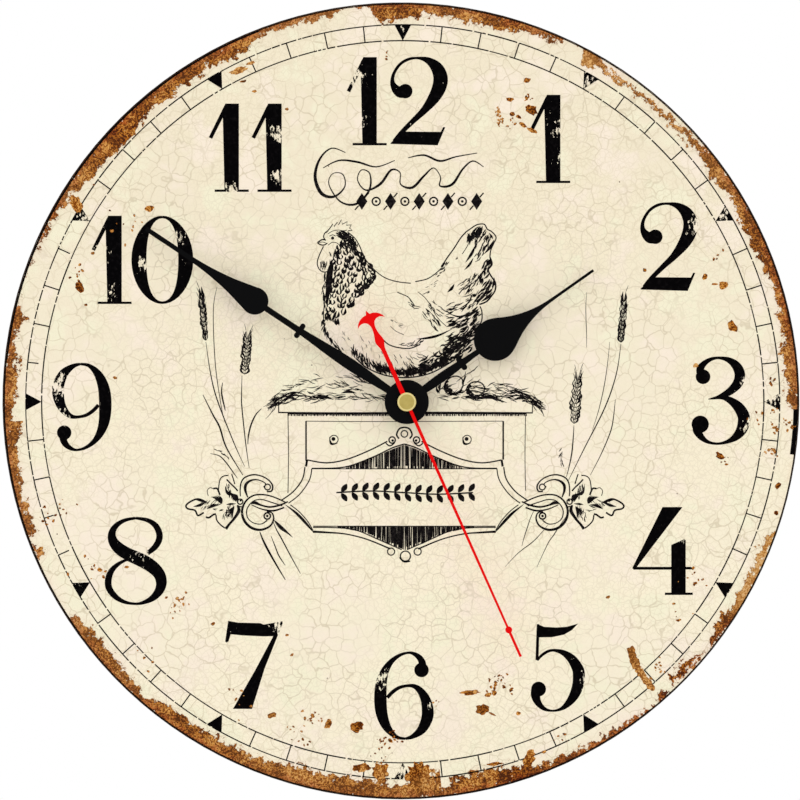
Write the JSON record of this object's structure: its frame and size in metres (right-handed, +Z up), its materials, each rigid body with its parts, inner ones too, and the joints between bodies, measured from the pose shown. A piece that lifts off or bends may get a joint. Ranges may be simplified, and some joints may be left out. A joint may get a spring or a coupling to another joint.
{
  "type": "wall clock",
  "caption": "Frameless round quartz wall clock: printed disc dial, spade hands, red sweep hand, and a battery movement with its full gear train behind the disc.",
  "frame": {"origin": "where the hands' axis meets the plane of the wall, on the rear cover's back face", "axes": "+Y points into the wall, the dial faces -Y, +Z is up towards twelve, +X is to the right as seen from the front"},
  "size_m": [0.3, 0.0338, 0.3],
  "materials": {
    "board": "MDF disc with a dark laser-cut edge",
    "dial_paper": "printed cream dial sheet, distressed, matte",
    "hand_black": "black painted sheet steel",
    "hand_red": "red painted sheet aluminium",
    "brass": "turned brass, light satin",
    "black_plastic": "moulded black ABS, fine texture",
    "grey_plastic": "moulded grey plastic",
    "white_plastic": "moulded acetal, natural white",
    "amber_plastic": "moulded acetal, amber",
    "steel": "zinc-plated sheet steel",
    "arbor_steel": "drawn steel pin, bright",
    "rubber": "black rubber sheet",
    "copper_wire": "enamelled copper winding",
    "laminate": "soft iron sheet",
    "magnet": "sintered ferrite",
    "circuit": "green phenolic board",
    "epoxy": "black epoxy drop",
    "contact": "nickel-plated spring strip",
    "cell_can": "nickel-plated steel can",
    "cell_sleeve": "plain shrink sleeve with two plain bands"
  },
  "bodies": {
    "movement": {"dial_board": "board", "dial_print": "dial_paper", "front_case": "black_plastic", "rear_cover": "black_plastic", "train_plate": "white_plastic", "threaded_bush": "brass", "hanger_plate": "steel", "rubber_washer": "rubber", "fixing_washer": "brass", "fixing_nut": "brass", "stator": "laminate", "coil_core": "laminate", "coil_bobbin": "white_plastic", "coil_winding": "copper_wire", "motor_screws": "arbor_steel", "circuit_board": "circuit", "quartz_crystal": "cell_can", "chip_cover": "epoxy", "positive_contact": "contact", "negative_contact": "contact"},
    "battery": {"battery_cell": "cell_can", "battery_sleeve": "cell_sleeve"},
    "rotor": {"rotor_magnet": "magnet", "rotor_pinion": "white_plastic"},
    "intermediate": {"intermediate_wheel": "amber_plastic"},
    "seconds": {"seconds_wheel": "white_plastic", "seconds_arbor": "arbor_steel", "second_hand": "hand_red", "second_hand_cap": "brass"},
    "third": {"third_wheel": "amber_plastic"},
    "minutes": {"centre_wheel": "white_plastic", "clutch_washer": "arbor_steel", "minute_arbor": "brass", "minute_hand": "hand_black", "minute_hand_collet": "brass"},
    "motion_wheel": {"minute_wheel": "amber_plastic"},
    "hours": {"hour_wheel": "white_plastic", "hour_hand": "hand_black", "hour_hand_collet": "brass"},
    "hand_setting": {"setting_pinion": "white_plastic", "setting_knob": "grey_plastic"}
  },
  "joints": [
    {"name": "second_hand_turn", "type": "hinge", "parent": "movement", "child": "seconds", "pos_m": [0, -0.025, 0], "axis": [0, 1, 0], "continuous": true},
    {"name": "minute_hand_turn", "type": "hinge", "parent": "movement", "child": "minutes", "pos_m": [0, -0.022, 0], "axis": [0, 1, 0], "continuous": true},
    {"name": "hour_hand_turn", "type": "hinge", "parent": "movement", "child": "hours", "pos_m": [0, -0.02, 0], "axis": [0, 1, 0], "continuous": true},
    {"name": "third_wheel_turn", "type": "hinge", "parent": "movement", "child": "third", "pos_m": [-0.00779, -0.01, 0.0045], "axis": [0, 1, 0], "continuous": true},
    {"name": "motion_wheel_turn", "type": "hinge", "parent": "movement", "child": "motion_wheel", "pos_m": [0.006, -0.013, 0], "axis": [0, 1, 0], "continuous": true},
    {"name": "hand_setting_turn", "type": "hinge", "parent": "movement", "child": "hand_setting", "pos_m": [0.012, -0.008, 0], "axis": [0, 1, 0], "continuous": true},
    {"name": "intermediate_wheel_turn", "type": "hinge", "parent": "movement", "child": "intermediate", "pos_m": [0.00143, -0.006, 0.00812], "axis": [0, 1, 0], "continuous": true},
    {"name": "rotor_turn", "type": "hinge", "parent": "movement", "child": "rotor", "pos_m": [0.00267, -0.006, 0.01516], "axis": [0, 1, 0], "continuous": true},
    {"name": "battery_slide", "type": "slide", "parent": "movement", "child": "battery", "axis": [0, 1, 0], "range_m": [0, 0.018]}
  ],
  "couplings": [
    {"joint": "minute_hand_turn", "follows": "second_hand_turn", "ratio": 0.016667},
    {"joint": "hour_hand_turn", "follows": "second_hand_turn", "ratio": 0.0013889},
    {"joint": "third_wheel_turn", "follows": "second_hand_turn", "ratio": -0.13333},
    {"joint": "motion_wheel_turn", "follows": "second_hand_turn", "ratio": -0.0055556},
    {"joint": "hand_setting_turn", "follows": "second_hand_turn", "ratio": 0.016667},
    {"joint": "intermediate_wheel_turn", "follows": "second_hand_turn", "ratio": -4},
    {"joint": "rotor_turn", "follows": "second_hand_turn", "ratio": 30}
  ]
}
